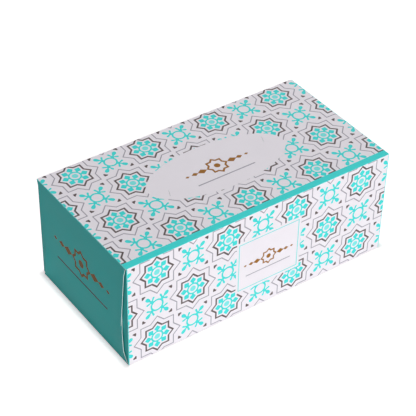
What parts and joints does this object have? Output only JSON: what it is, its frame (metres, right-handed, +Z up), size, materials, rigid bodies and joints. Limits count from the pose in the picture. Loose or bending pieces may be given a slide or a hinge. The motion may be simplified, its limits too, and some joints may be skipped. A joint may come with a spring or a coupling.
{
  "type": "tissue box",
  "caption": "Sealed rectangular carton of facial tissues with a perforated oval tear-out in the top, glued end flaps and a printed geometric star pattern.",
  "frame": {"origin": "centre of the base, on the surface that the carton stands on", "axes": "+X along the carton's length, -Y towards the front long panel, +Z up through the top panel"},
  "size_m": [0.23, 0.119, 0.09],
  "materials": {
    "printed_board": "coated folding boxboard, satin, printed teal, grey-brown and light grey on white"
  },
  "bodies": {
    "root": {"tissue_box": "printed_board"}
  },
  "joints": []
}
